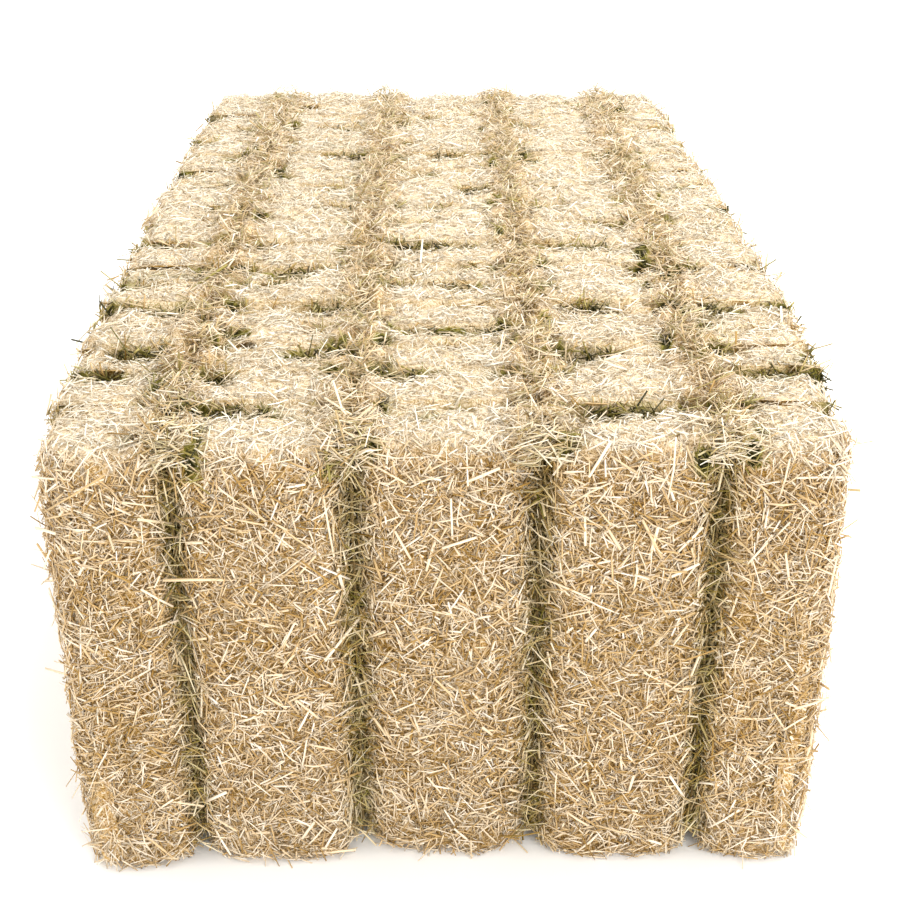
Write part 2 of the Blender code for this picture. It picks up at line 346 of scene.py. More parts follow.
# The ribs along a stalk: their stretch, their shift from stalk to stalk and how much they
# change its tone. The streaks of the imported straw: their bend, the turn and the scale of
# each of three layers, and the tones they are spread over. The fibres of the twine.
RIB_STRETCH = (7.0, 1.1, 1.0)
RIB_SHIFT = 97.0
RIB_TONE = 0.17
STREAK_BEND = (0.05, 0.05, 0.05)
STREAK_LAYERS = (
    ((0.5, 0.3, 0.9), (520, 90, 520)),
    ((0.2, 0.8, 2.2), (90, 520, 520)),
    ((1.1, 0.4, 0.2), (520, 520, 90)),
)
STREAK_LOW = 0.50
STREAK_HIGH = 0.70
STREAK_TONE = 0.60
TWINE_STRETCH = (2600.0, 260.0, 260.0)

# The margin round each shape in its cell of the baking map.
CELL_MARGIN = 0.06


def unit(vectors):
    """Each vector divided by its length."""
    lengths = np.linalg.norm(vectors, axis=-1, keepdims=True)
    return vectors / np.maximum(lengths, 1e-12)


def lumps(points, size, seed):
    """A smooth random height from about -1 to 1: WAVE_RISE times the mean of sine waves
    with random directions and phases, each about `size` long."""
    chance = np.random.default_rng(seed)
    ways = unit(chance.normal(size=(WAVES, 3))) * chance.uniform(*WAVE_SPREAD, (WAVES, 1))
    phases = chance.uniform(0, 2 * np.pi, WAVES)
    return np.sin(points @ ways.T * (2 * np.pi / size) + phases).mean(axis=1) * WAVE_RISE


def merged(points, digits):
    """The different points, and the place of each old point among them."""
    different, place = np.unique(np.round(points, digits), axis=0, return_inverse=True)
    return different, place.reshape(-1)


def solid_of(name):
    """A node's points, merged where they meet, and its triangles."""
    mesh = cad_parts[name].data
    mesh.calc_loop_triangles()
    points = np.empty(len(mesh.vertices) * 3, np.float32)
    mesh.vertices.foreach_get("co", points)
    triangles = np.empty(len(mesh.loop_triangles) * 3, np.int32)
    mesh.loop_triangles.foreach_get("vertices", triangles)
    points, place = merged(points.reshape(-1, 3).astype(float), 5)
    return points, place[triangles.reshape(-1, 3)]


def face_normals(points, triangles):
    """The cross product of two edges of each triangle, twice its area long."""
    a, b, c = (points[triangles[:, k]] for k in range(3))
    return np.cross(b - a, c - a)


def point_normals(points, triangles):
    """The normal at each point: the mean of its faces' normals, weighted by the angle
    that each face has there."""
    faces = unit(face_normals(points, triangles))
    normals = np.zeros_like(points)
    for k in range(3):
        here, after, before = (points[triangles[:, (k + s) % 3]] for s in (0, 1, 2))
        cosine = (unit(after - here) * unit(before - here)).sum(axis=1)
        angle = np.arccos(np.clip(cosine, -1, 1))
        np.add.at(normals, triangles[:, k], faces * angle[:, None])
    return unit(normals)


def soft_patches(points, triangles, steps, softness):
    """Every triangle as a curved patch over a grid of its two free barycentric shares.

    A grid point is the flat point, moved by `softness` of the way to the mean, weighted
    by the shares, of its projections on the planes that touch the three corners, but not
    further than BED_PULL.
    Returns the points, their normals, the triangles, and the old triangle of each.
    """
    normals = point_normals(points, triangles)
    shares = np.array([(i, j, steps - i - j) for i in range(steps + 1) for j in range(steps + 1 - i)])
    place = {tuple(share[:2]): k for k, share in enumerate(shares)}
    up = [(place[i, j], place[i + 1, j], place[i, j + 1])
          for i in range(steps) for j in range(steps - i)]
    down = [(place[i + 1, j], place[i + 1, j + 1], place[i, j + 1])
            for i in range(steps - 1) for j in range(steps - 1 - i)]
    small = np.array(up + down)
    weights = shares / steps
    corners = points[triangles]
    corner_normals = normals[triangles]
    flat = np.einsum("gk,tkc->tgc", weights, corners)
    toward = flat[:, :, None, :] - corners[:, None, :, :]
    height = (toward * corner_normals[:, None, :, :]).sum(axis=3)
    pulled = (weights[None] * height)[..., None] * corner_normals[:, None, :, :]
    pull = softness * pulled.sum(axis=2)
    size = np.linalg.norm(pull, axis=2, keepdims=True)
    grid = flat - pull * np.minimum(1, BED_PULL / np.maximum(size, 1e-9))
    grid_normals = unit(np.einsum("gk,tkc->tgc", weights, corner_normals))
    offsets = np.arange(len(triangles)) * len(shares)
    fine = (small[None] + offsets[:, None, None]).reshape(-1, 3)
    soft, first, where = np.unique(
        np.round(grid.reshape(-1, 3), 6), axis=0, return_index=True, return_inverse=True)
    source = np.repeat(np.arange(len(triangles)), len(small))
    fine = where.reshape(-1)[fine]
    whole = (fine[:, 0] != fine[:, 1]) & (fine[:, 1] != fine[:, 2]) & (fine[:, 2] != fine[:, 0])
    return soft, grid_normals.reshape(-1, 3)[first], fine[whole], source[whole]


def line_along(points, outside):
    """The y of a face along x, from its points, or `outside` if it has none."""
    if len(points) == 0:
        return np.zeros(1), np.full(1, outside)
    stations, place = np.unique(np.round(points[:, 0], 3), return_inverse=True)
    place = place.reshape(-1)
    return stations, np.bincount(place, points[:, 1]) / np.bincount(place)


class Parting:
    """The two faces that a flake shares with its neighbours, as y along x, from their
    points, and the height of the flake's top. An outer end of the bale has no points."""

    def __init__(self, near_face, far_face, pad):
        self.near = line_along(near_face, -10.0)
        self.far = line_along(far_face, 10.0)
        self.pad = pad

    def past_near(self, points):
        """How far each point is behind the parting with the nearer neighbour."""
        return points[:, 1] - np.interp(points[:, 0], *self.near)

    def before_far(self, points):
        """How far each point is before the parting with the further neighbour."""
        return np.interp(points[:, 0], *self.far) - points[:, 1]

    def closeness(self, points, reach):
        """1 on a parting, falling off over `reach`."""
        return np.exp(-((np.minimum(self.past_near(points), self.before_far(points)) / reach) ** 2))

    def dip(self, points, reach):
        """1 at the parting with the further neighbour where the crack is open."""
        return np.exp(-((self.before_far(points) / reach) ** 2)) * opened(points)


def from_twine(points):
    """How far across the bale the nearest twine is."""
    return np.abs(points[:, 0, None] - np.array(TWINE_X)).min(axis=1)


def opened(points):
    """How open the cracks are at a place, from 0 to 1: a slow random height, cut off. They
    hardly open down the sides."""
    height = (lumps(points, OPEN_LENGTH, OPEN_SEED) - OPEN_FROM) / (OPEN_FULL - OPEN_FROM)
    upper = (points[:, 2] - TOP + OPEN_DOWN) / OPEN_FADE
    return np.clip(height, 0, 1) * np.clip(upper, OPEN_LEAST, 1)


def holes(points, parting):
    """1 in the holes beside the twine lines on the top, where a random height is high.
    Most are at a crack."""
    band = np.exp(-(((from_twine(points) - HOLE_AWAY) / HOLE_HALF) ** 2))
    at_crack = HOLE_AT_CRACK * parting.closeness(points, HOLE_REACH)
    height = lumps(points, HOLE_LENGTH, HOLE_SEED) + at_crack - HOLE_FROM
    upper = (points[:, 2] - TOP + HOLE_DOWN) / HOLE_FADE
    return band * np.clip(height / HOLE_FULL, 0, 1) * np.clip(upper, 0, 1)


def grooves(points):
    """1 well down in the grooves that the twines have cut into the two ends."""
    from_end = np.minimum(points[:, 1] - cad_low.y, cad_high.y - points[:, 1])
    at_end = np.clip((GROOVE_LENGTH - from_end) / GROOVE_FADE, 0, 1)
    sunk = np.clip((from_end - GROOVE_LIP) / GROOVE_SINK, 0, 1)
    return np.exp(-((from_twine(points) / GROOVE_HALF) ** 2)) * at_end * sunk


def below_lip(points, parting):
    """From near 0 at the lip of a crack on the top to 1 a little further down."""
    return np.clip((parting.pad - LIP_DEPTH - points[:, 2]) / WALL_DARK, LIP_LEAST, 1)


def deepness(points, parting):
    """How much shade is painted at a point in a groove, hole or crack, from 0 to 1. The lip of a crack
    is as light as the top."""
    crack = parting.closeness(points, CRACK_LINE) * (SHUT_DARK + (1 - SHUT_DARK) * opened(points))
    crack = np.maximum(crack, DIP_DARK * parting.dip(points, DIP_REACH)) * below_lip(points, parting)
    gap = np.maximum(crack, HOLE_DARK * holes(points, parting))
    return np.clip(np.maximum(gap, GROOVE_PAINTED_SHADE * grooves(points)), 0, 1)


def bareness(points, parting):
    """The share of stalks left out at a place: most of them in holes, some in the open
    cracks and grooves."""
    crack = BARE_CRACK * parting.dip(points, BARE_REACH)
    gap = np.maximum(np.maximum(crack, holes(points, parting)), BARE_GROOVE * grooves(points))
    return BARE_SHARE * np.clip(BARE_SLOPE * gap - BARE_FROM, 0, 1)


def bleaching(points, normals):
    """How far the sun has bleached the straw: most on the top, less by the twine lines."""
    upward = np.clip(normals[:, 2], 0, 1) ** BLEACH_POWER
    return upward * (1 - LINE_UNBLEACHED * np.exp(-((from_twine(points) / LINE_HALF) ** 2)))


def stalk_shapes(middle, along, out, length, width, thickness, rings, sides, bend, taper):
    """Closed stalks. Ring r of a stalk stands at share t = r / (rings - 1) of its length,
    shifted out by bend * length * (1 - (2t - 1)^2), and its corners lie on an ellipse
    `width` across and `thickness` deep, shrunk by taper * |2t - 1|. The points come back
    by stalk, ring and side."""
    along = unit(along)
    side = unit(np.cross(along, out))
    out = np.cross(side, along)
    t = np.linspace(0, 1, rings)
    arch = 1 - (2 * t - 1) ** 2
    centre = (middle[:, None] + along[:, None] * ((t - 0.5)[None, :, None] * length[:, None, None])
              + out[:, None] * (arch[None, :, None] * (bend * length)[:, None, None]))
    turn = 2 * np.pi * np.arange(sides) / sides
    size = 1 - taper[:, None] * np.abs(2 * t - 1)[None]
    across = (0.5 * width[:, None] * size)[:, :, None, None] * np.cos(turn)[None, None, :, None]
    raised = (0.5 * thickness[:, None] * size)[:, :, None, None] * np.sin(turn)[None, None, :, None]
    return centre[:, :, None] + across * side[:, None, None] + raised * out[:, None, None]


def stalk_faces(rings, sides):
    """The faces of one such stalk, pointing outwards: quads round it and two end caps."""
    faces = [(r * sides + s, r * sides + (s + 1) % sides,
              (r + 1) * sides + (s + 1) % sides, (r + 1) * sides + s)
             for r in range(rings - 1) for s in range(sides)]
    faces.append(tuple(range(sides))[::-1])
    faces.append(tuple(range((rings - 1) * sides, rings * sides)))
    return faces


def splinter_shapes(middle, along, out, length, width, thickness):
    """Closed splinters with four corners: half the width to either side at one end, and
    half the thickness up and down, with a quarter of the width, at the other."""
    along = unit(along)
    side = unit(np.cross(along, out))
    out = np.cross(side, along)
    back = middle - along * (0.5 * length)[:, None]
    front = middle + along * (0.5 * length)[:, None]
    half = (0.5 * width)[:, None]
    rise = (0.5 * thickness)[:, None]
    lower, upper = front - out * rise, front + out * rise
    return np.stack([back - side * half, back + side * half,
                     lower + side * half * 0.5, upper - side * half * 0.5], axis=1)


SPLINTER_FACES = [(0, 2, 1), (0, 1, 3), (1, 2, 3), (2, 0, 3)]


def fibre_shapes(middle, along, out, length, width, bend):
    """Closed fibres: a point, a triangle `width` across round the middle, lifted by
    bend * length, and a point."""
    along = unit(along)
    side = unit(np.cross(along, out))
    out = np.cross(side, along)
    half = along * (0.5 * length)[:, None]
    lift = out * (bend * length)[:, None]
    radius = (0.5 * width)[:, None]
    ring = [middle + lift + radius * (math.cos(a) * side + math.sin(a) * out)
            for a in (0.0, 2 * math.pi / 3, 4 * math.pi / 3)]
    return np.stack([middle - half, *ring, middle + half], axis=1)


FIBRE_FACES = [(0, 2, 1), (0, 3, 2), (0, 1, 3), (4, 1, 2), (4, 2, 3), (4, 3, 1)]


class Pile:
    """Gathers closed little shapes into the arrays of one mesh."""

    def __init__(self):
        self.points, self.corners, self.totals = [], [], []
        self.looks = dict(tone=[], deep=[], bleach=[])
        self.cells, self.places = [], []
        self.count = 0
        self.shapes = 0

    def add(self, points, faces, looks, places):
        """points is (shape, corner, 3); looks has the tone, painted shade and bleaching of each shape,
        and places, two shares for each corner, says where it lies on the skin."""
        amount, corners = points.shape[:2]
        if amount == 0:
            return
        base = self.count + np.arange(amount)[:, None] * corners
        loops = np.array([k for face in faces for k in face])
        self.points.append(points.reshape(-1, 3))
        self.corners.append((base + loops[None]).reshape(-1))
        self.totals.append(np.tile([len(face) for face in faces], amount))
        for label, values in self.looks.items():
            values.append(np.repeat(looks[label], corners))
        self.places.append(np.tile(places[loops], (amount, 1)))
        self.cells.append(np.repeat(self.shapes + np.arange(amount), len(loops)))
        self.count += amount * corners
        self.shapes += amount

    def piece(self, name, material):
        """Makes all the shapes one mesh, with their looks as point attributes, their skins
        as one UV map and a square cell of the atlas for each shape as the other."""
        mesh = bpy.data.meshes.new(name)
        points = np.concatenate(self.points)
        corners = np.concatenate(self.corners)
        totals = np.concatenate(self.totals)
        mesh.vertices.add(len(points))
        mesh.vertices.foreach_set("co", points.astype(np.float32).ravel())
        mesh.loops.add(len(corners))
        mesh.loops.foreach_set("vertex_index", corners.astype(np.int32))
        mesh.polygons.add(len(totals))
        starts = np.concatenate([[0], np.cumsum(totals)[:-1]])
        mesh.polygons.foreach_set("loop_start", starts.astype(np.int32))
        mesh.polygons.foreach_set("loop_total", totals.astype(np.int32))
        mesh.update(calc_edges=True)
        for label, values in self.looks.items():
            attribute = mesh.attributes.new(label, "FLOAT", "POINT")
            attribute.data.foreach_set("value", np.concatenate(values).astype(np.float32))
        places = np.concatenate(self.places)
        cells = np.concatenate(self.cells)
        skin = mesh.uv_layers.new(name="Skin")
        skin.data.foreach_set("uv", places.astype(np.float32).ravel())
        columns = math.ceil(math.sqrt(self.shapes))
        corner = np.stack([cells % columns, cells // columns], axis=1)
        atlas = mesh.uv_layers.new(name="OFBake")
        spread = (corner + CELL_MARGIN + (1 - 2 * CELL_MARGIN) * places) / columns
        atlas.data.foreach_set("uv", spread.astype(np.float32).ravel())
        return finished(name, mesh, material)


def finished(name, mesh, material):
    """A visible piece from a mesh, with its material, body and slot."""
    mesh.materials.append(material)
    obj = bpy.data.objects.new(name, mesh)
    bpy.context.scene.collection.objects.link(obj)
    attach(obj, "root")
    return obj


def skin_places(rings, sides):
    """Where each corner of a stalk lies on its skin: its share round and its share along."""
    return np.array([((s + 0.5) / sides, r / (rings - 1)) for r in range(rings) for s in range(sides)])


SPLINTER_PLACES = np.array([(0.1, 0.0), (0.9, 0.0), (0.35, 1.0), (0.65, 1.0)])
FIBRE_PLACES = np.array([(0.5, 0.0), (0.1, 0.5), (0.5, 0.5), (0.9, 0.5), (0.5, 1.0)])


class Bed:
    """The softened, lumpy skin of one flake, which the stalks lie on."""

    def __init__(self, name):
        self.name = name
        points, triangles = solid_of(name)
        self.first = name == FLAKES[0]
        self.last = name == FLAKES[-1]
        facing = unit(face_normals(points, triangles))[:, 1]
        middle = points[triangles, 1].mean(axis=1)
        near_wall = (facing < -SHARED_FACING) & (middle < points[:, 1].min() + SHARED_BAND)
        far_wall = (facing > SHARED_FACING) & (middle > points[:, 1].max() - SHARED_BAND)
        near_wall &= not self.first
        far_wall &= not self.last
        shared = near_wall | far_wall
        self.left, self.right = points[:, 0].min(), points[:, 0].max()
        beside = np.abs(points[:, 0] - self.left - EDGE_ROUND) < EDGE_NEAR
        beside &= points[:, 2] > TOP / 2
        self.pad = points[beside, 2].max()
        self.parting = Parting(points[np.unique(triangles[near_wall])],
                               points[np.unique(triangles[far_wall])], self.pad)
        soft, normals, fine, source = soft_patches(points, triangles, BED_STEPS, BED_SOFTNESS)
        soft = self.filled(soft)
        dip = DIP_DEPTH * self.parting.dip(soft, DIP_REACH)
        sink = np.maximum(dip, HOLE_SINK * holes(soft, self.parting))
        big = BIG_LUMP_RISE * lumps(soft, BIG_LUMP, BIG_LUMP_SEED)
        rise = big + SMALL_LUMP_RISE * lumps(soft, SMALL_LUMP, SMALL_LUMP_SEED)
        soft = soft + normals * np.minimum(rise - BED_SINK, 0.0)[:, None]
        soft[:, 2] -= sink * np.clip(normals[:, 2] * SINK_SLOPE, 0, 1)
        soft[:, 2] = np.maximum(soft[:, 2], BED_FLOOR)
        self.points, self.triangles, self.hidden = soft, fine, shared[source]
        self.normals = point_normals(soft, fine)

    def filled(self, soft):
        """Moves the skin out to the flake's top and sides near its partings, but not where
        it dips, in the twine grooves or round the long edges."""
        share = SHUT_FILL * (1 - self.parting.dip(soft, DIP_REACH))
        share = share * np.clip(FILL_GAIN * self.parting.closeness(soft, CRACK_REACH), 0, 1)
        gap_up = self.pad - soft[:, 2]
        gap_left, gap_right = soft[:, 0] - self.left, self.right - soft[:, 0]
        inside = np.clip((np.minimum(gap_left, gap_right) - FILL_AWAY) / FILL_FADE, 0, 1)
        inside = inside * (1 - np.exp(-((from_twine(soft) / FILL_TWINE) ** 2)))
        upright = np.clip((np.minimum(gap_up, soft[:, 2]) - FILL_AWAY) / FILL_FADE, 0, 1)
        moved = soft.copy()
        moved[:, 2] += share * inside * np.where(gap_up < FILL_LIMIT, np.maximum(gap_up, 0), 0)
        moved[:, 0] -= share * upright * np.where(gap_left < FILL_LIMIT, gap_left, 0)
        moved[:, 0] += share * upright * np.where(gap_right < FILL_LIMIT, gap_right, 0)
        return moved

    def piece(self, material):
        """Makes the skin a mesh, with its painted shade and bleaching, in place of the flake."""
        mesh = bpy.data.meshes.new("bed_" + self.name[-2:])
        mesh.from_pydata(self.points, [], self.triangles)
        # Painted shade on the lower walls of the cracks, more where they are open.
        wall_painted_shade = self.parting.closeness(self.points, WALL_LINE) * below_lip(self.points, self.parting)
        wall_painted_shade = wall_painted_shade * (WALL_SHUT + (1 - WALL_SHUT) * opened(self.points))
        for label, values in (("deep", np.maximum(wall_painted_shade, deepness(self.points, self.parting))),
                              ("bleach", BED_BLEACH_AND_SHADE * bleaching(self.points, self.normals))):
            attribute = mesh.attributes.new(label, "FLOAT", "POINT")
            attribute.data.foreach_set("value", values.astype(np.float32))
        mesh.polygons.foreach_set("use_smooth", np.ones(len(mesh.polygons), bool))
        obj = finished(mesh.name, mesh, material)
        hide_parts(self.name)
        return obj

    def surface_shares(self):
        """How far each triangle belongs to each kind of surface, by its normal."""
        x, y, z = unit(face_normals(self.points, self.triangles)).T
        outer = (self.first & (y < 0)) | (self.last & (y > 0))
        return dict(
            near=y * y * (outer & (y < 0)),
            far=y * y * (outer & (y > 0)),
            crack=y * y * ~outer,
            top=np.maximum(z, 0) ** 2,
            under=np.maximum(-z, 0) ** 2,
            side=x * x,
        )

    def sample(self, amounts, chance):
        """Random points on the skin and the bare walls: place, normal, and growth there."""
        shares = self.surface_shares()
        area = 0.5 * np.linalg.norm(face_normals(self.points, self.triangles), axis=1)
        expected = area * sum(shares[surface] * amounts[surface] for surface in SURFACES)
        from_front = self.points[self.triangles[:, 0], 1] - cad_low.y
        seen_side = shares["side"] * np.clip((FRONT_STRIP - from_front) / FRONT_FADE, 0, 1)
        expected = np.where(self.hidden, 0.0, expected * (1 + FRONT_MORE * seen_side))
        growth = sum(shares[surface] * GROWTH[surface] for surface in SURFACES)
        amount = int(round(expected.sum()))
        chosen = chance.choice(len(area), amount, p=expected / expected.sum())
        a, b = chance.random((2, amount))
        over = a + b > 1
        a, b = np.where(over, 1 - a, a), np.where(over, 1 - b, b)
        weights = np.stack([1 - a - b, a, b], axis=1)
        corners = self.triangles[chosen]
        place = (self.points[corners] * weights[..., None]).sum(axis=1)
        normal = unit((self.normals[corners] * weights[..., None]).sum(axis=1))
        walls, wall_normal = self.wall_places(amounts["crack"], chance)
        wall_growth = np.full(len(walls), GROWTH["crack"])
        return (np.concatenate([place, walls]), np.concatenate([normal, wall_normal]),
                np.concatenate([growth[chosen], wall_growth]))

    def wall_places(self, amount, chance):
        """Random points on the shared faces where they are bare: in the open cracks along
        the top, and where a side stands further out than the neighbour's."""
        places, normals = [np.empty((0, 3))], [np.empty((0, 3))]
        here = FLAKES.index(self.name)
        for step, line in ((-1, self.parting.near), (1, self.parting.far)):
            if not 0 <= here + step < len(FLAKES):
                continue
            beside_low, beside_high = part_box(FLAKES[here + step])
            strips = [(self.left, beside_low.x + WALL_LAP, WALL_FOOT),
                      (beside_high.x - WALL_LAP, self.right, WALL_FOOT)]
            if step < 0:
                strips.append((self.left + WALL_INSET, self.right - WALL_INSET, self.pad - WALL_BAND))
            for x0, x1, low in strips:
                if x1 < x0:
                    continue
                number = int(WALL_SHARE * amount * (x1 - x0) * (self.pad - low))
                x, z = chance.uniform(x0, x1, number), chance.uniform(low, self.pad, number)
                spot = np.stack([x, np.interp(x, *line), z], axis=1)
                if low > WALL_FOOT:
                    spot = spot[chance.random(number) < opened(spot)]
                places.append(spot)
                normals.append(np.broadcast_to((0.0, float(step), 0.0), spot.shape))
        return np.concatenate(places), np.concatenate(normals)


def laid_ways(normal, tilt, chance):
    """Random directions near the plane across each normal, tilted out of it by up to
    `tilt` radians either way."""
    side = unit(np.cross(normal, chance.normal(size=normal.shape)))
    lift = chance.normal(0, 1, len(normal)) * tilt
    return unit(side * np.cos(lift)[:, None] + normal * np.sin(lift)[:, None])


def kept_near(points):
    """Shifts back each shape that stands further than REACH out of the box round the
    solids, and lifts those that go through the floor."""
    axes = tuple(range(1, points.ndim - 1))
    least = np.array([cad_low.x - REACH, cad_low.y - REACH, FLOOR])
    most = np.array([cad_high.x + REACH, cad_high.y + REACH, cad_high.z + REACH])
    under = np.maximum(least - points.min(axis=axes), 0)
    over = np.maximum(points.max(axis=axes) - most, 0)
    return points + (under - over).reshape((-1,) + (1,) * len(axes) + (3,))


def random_size(spec, grown, chance):
    """Sizes with a lognormal spread round the middle value, kept between the limits."""
    middle, spread, low, high = spec
    amount = len(grown)
    return np.clip(middle * np.exp(chance.normal(0, spread, amount)), low, high) * grown


def add_stalks(pile, middle, along, out, straw, grown, looks, sides, chance):
    """Adds stalks of one kind with two or three rings of corners, as they bend or not."""
    amount = len(middle)
    rings = 3 if straw.bend else 2
    width = random_size(straw.width, grown, chance)
    shapes = stalk_shapes(
        middle, along, out, random_size(straw.length, grown ** 2, chance), width,
        width * chance.uniform(*straw.flat, amount), rings, sides,
        chance.normal(0, 1, amount) * straw.bend, chance.uniform(0, 1, amount) * straw.taper)
    shapes = kept_near(shapes.reshape(amount, -1, 3))
    pile.add(shapes, stalk_faces(rings, sides), looks, skin_places(rings, sides))


def lay(bed, straw, chance):
    """Random places for one kind of straw on a bed: the middles, directions, normals, growths and looks,
    with the painted shade of each place. Edge straw lies along the cracks, close to them, with less
    painted shade. What lies uppermost is bleached most, and the less bleached lower stalks also paint
    the shade between stalks."""
    place, normal, grown = bed.sample(straw.amounts, chance)
    if straw is EDGE:
        beside = bed.parting.closeness(place, EDGE_REACH) * (1 - holes(place, bed.parting))
        kept = chance.random(len(place)) < beside
    else:
        kept = chance.random(len(place)) > bareness(place, bed.parting)
    place, normal, grown = place[kept], normal[kept], grown[kept]
    amount = len(place)
    lift = chance.random(amount)
    looks = dict(
        tone=chance.beta(TONE_SHAPE, TONE_SHAPE, amount),
        deep=deepness(place, bed.parting) * chance.uniform(PAINTED_SHADE_LEAST, 1, amount) ** PAINTED_SHADE_POWER,
        bleach=(bleaching(place, normal) * (BLEACH_AND_SHADE_LOW + BLEACH_AND_SHADE_LIFT * lift)
                * chance.uniform(BLEACH_LEAST, 1, amount)),
    )
    along = laid_ways(normal, straw.tilt, chance)
    if straw is EDGE:
        along = unit(np.cross(normal, (0.0, 1.0, 0.0)) + EDGE_TURN * along)
        looks["deep"] *= EDGE_PAINTED_SHADE
    height = straw.height[0] + (straw.height[1] - straw.height[0]) * lift
    return place + normal * height[:, None], along, normal, grown, looks


def lay_chaff(bed, chance):
    """The splinters and fibres of one flake."""
    pile = Pile()
    middle, along, out, grown, looks = lay(bed, SPLINTER, chance)
    width = random_size(SPLINTER.width, grown, chance)
    thickness = width * chance.uniform(*SPLINTER.flat, len(middle))
    length = random_size(SPLINTER.length, grown ** 2, chance)
    shapes = splinter_shapes(middle, along, out, length, width, thickness)
    pile.add(kept_near(shapes), SPLINTER_FACES, looks, SPLINTER_PLACES)
    middle, along, out, grown, looks = lay(bed, FIBRE, chance)
    shapes = fibre_shapes(
        middle, along, out, random_size(FIBRE.length, grown, chance),
        random_size(FIBRE.width, grown, chance), chance.normal(0, FIBRE.bend, len(middle)))
    pile.add(kept_near(shapes), FIBRE_FACES, looks, FIBRE_PLACES)
    return pile


def lay_stalks(bed, chance):
    """The stalks of one flake: cut, bent and stray ones, those along the cracks, and a few
    whole round stems."""
    pile = Pile()
    for straw in (CUT, BENT, STRAY, EDGE, STEM):
        middle, along, out, grown, looks = lay(bed, straw, chance)
        sides = STALK_SIDES
        if straw is STEM:
            sides = STEM_SIDES
            looks["tone"] = STEM_TONE_LOW + STEM_TONE_SPREAD * looks["tone"]
        add_stalks(pile, middle, along, out, straw, grown, looks, sides, chance)
    return pile


def way(azimuth, rise):
    """Directions from angles round the upright and angles over the level."""
    flat = np.cos(rise)
    return np.stack([np.cos(azimuth) * flat, np.sin(azimuth) * flat, np.sin(rise)], axis=1)


def lay_tufts(name, x, chance):
    """The loose straw of one twine line: the ridge along the top, straw that hangs over
    the tops of the two end grooves, and stalks that bridge them lower down."""
    pile = Pile()
    low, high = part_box(name)
    up = np.array([0.0, 0.0, 1.0])

    def add(straw, spot, along, tone, deep, bleach):
        """Adds loose stalks of one kind that lie level on the whole."""
        out = np.broadcast_to(up, spot.shape)
        looks = dict(tone=tone, deep=deep, bleach=bleach * chance.random(len(spot)))
        add_stalks(pile, spot, along, out, straw, np.ones(len(spot)), looks, STALK_SIDES, chance)

    spot = np.stack([
        x + chance.normal(0, TUFT_HALF, TUFT_AMOUNT * 2),
        chance.uniform(cad_low.y + TUFT_END, cad_high.y - TUFT_END, TUFT_AMOUNT * 2),
        high.z + chance.random(TUFT_AMOUNT * 2)], axis=1)
    mound = np.exp(-(((spot[:, 0] - x) / (MOUND_WIDTH * TUFT_HALF)) ** 2))
    spot[:, 2] = high.z - TUFT_SINK + TUFT_RISE * mound * (spot[:, 2] - high.z)
    clumped = lumps(spot, TUFT_CLUMP, TUFT_SEED) + chance.normal(0, TUFT_MIX, len(spot))
    spot = spot[np.argsort(-clumped)[:TUFT_AMOUNT]]
    rise = np.clip(chance.normal(*RIDGE_TILT, TUFT_AMOUNT), *RIDGE_TILT_LIMITS)
    along = way(chance.uniform(0, 2 * np.pi, TUFT_AMOUNT), rise)
    tone = chance.beta(*RIDGE_TONE, TUFT_AMOUNT)
    add(RIDGE, spot, along, tone, RIDGE_PAINTED_SHADE * chance.random(TUFT_AMOUNT) ** 3, RIDGE_BLEACH)

    for end, sign, twine_y in ((cad_low.y, 1, low.y), (cad_high.y, -1, high.y)):
        ahead = chance.uniform(0, 1, DRAPE_AMOUNT)
        spot = np.stack([
            x + chance.normal(0, DRAPE_HALF, DRAPE_AMOUNT),
            end + sign * (DRAPE_FROM + ahead * DRAPE_DEPTH),
            high.z - DRAPE_DROP * (1 - ahead) ** 2
            + chance.normal(0, DRAPE_LOOSE, DRAPE_AMOUNT)], axis=1)
        along = way(chance.normal(0, DRAPE_TURN, DRAPE_AMOUNT),
                    chance.normal(0, DRAPE_TILT, DRAPE_AMOUNT))
        deep = DRAPE_PAINTED_SHADE * chance.random(DRAPE_AMOUNT) ** 2
        tone = chance.beta(DRAPE_TONE, DRAPE_TONE, DRAPE_AMOUNT)
        add(DRAPE, spot, along, tone, deep, DRAPE_BLEACH)
        inward = chance.uniform(BRIDGE_FROM, 1, BRIDGE_AMOUNT)
        spot = np.stack([
            x + chance.normal(0, BRIDGE_HALF, BRIDGE_AMOUNT),
            end + (twine_y - end) * inward,
            TOP * (BRIDGE_LOW + BRIDGE_HIGH * chance.random(BRIDGE_AMOUNT) ** BRIDGE_POWER)], axis=1)
        along = way(chance.normal(0, BRIDGE_TURN, BRIDGE_AMOUNT),
                    chance.normal(0, BRIDGE_TILT, BRIDGE_AMOUNT))
        tone = chance.beta(DRAPE_TONE, DRAPE_TONE, BRIDGE_AMOUNT)
        # Bridges further into a groove get more painted shade.
        add(DRAPE, spot, along, tone, BRIDGE_PAINTED_SHADE * inward, 0.0)
    return pile


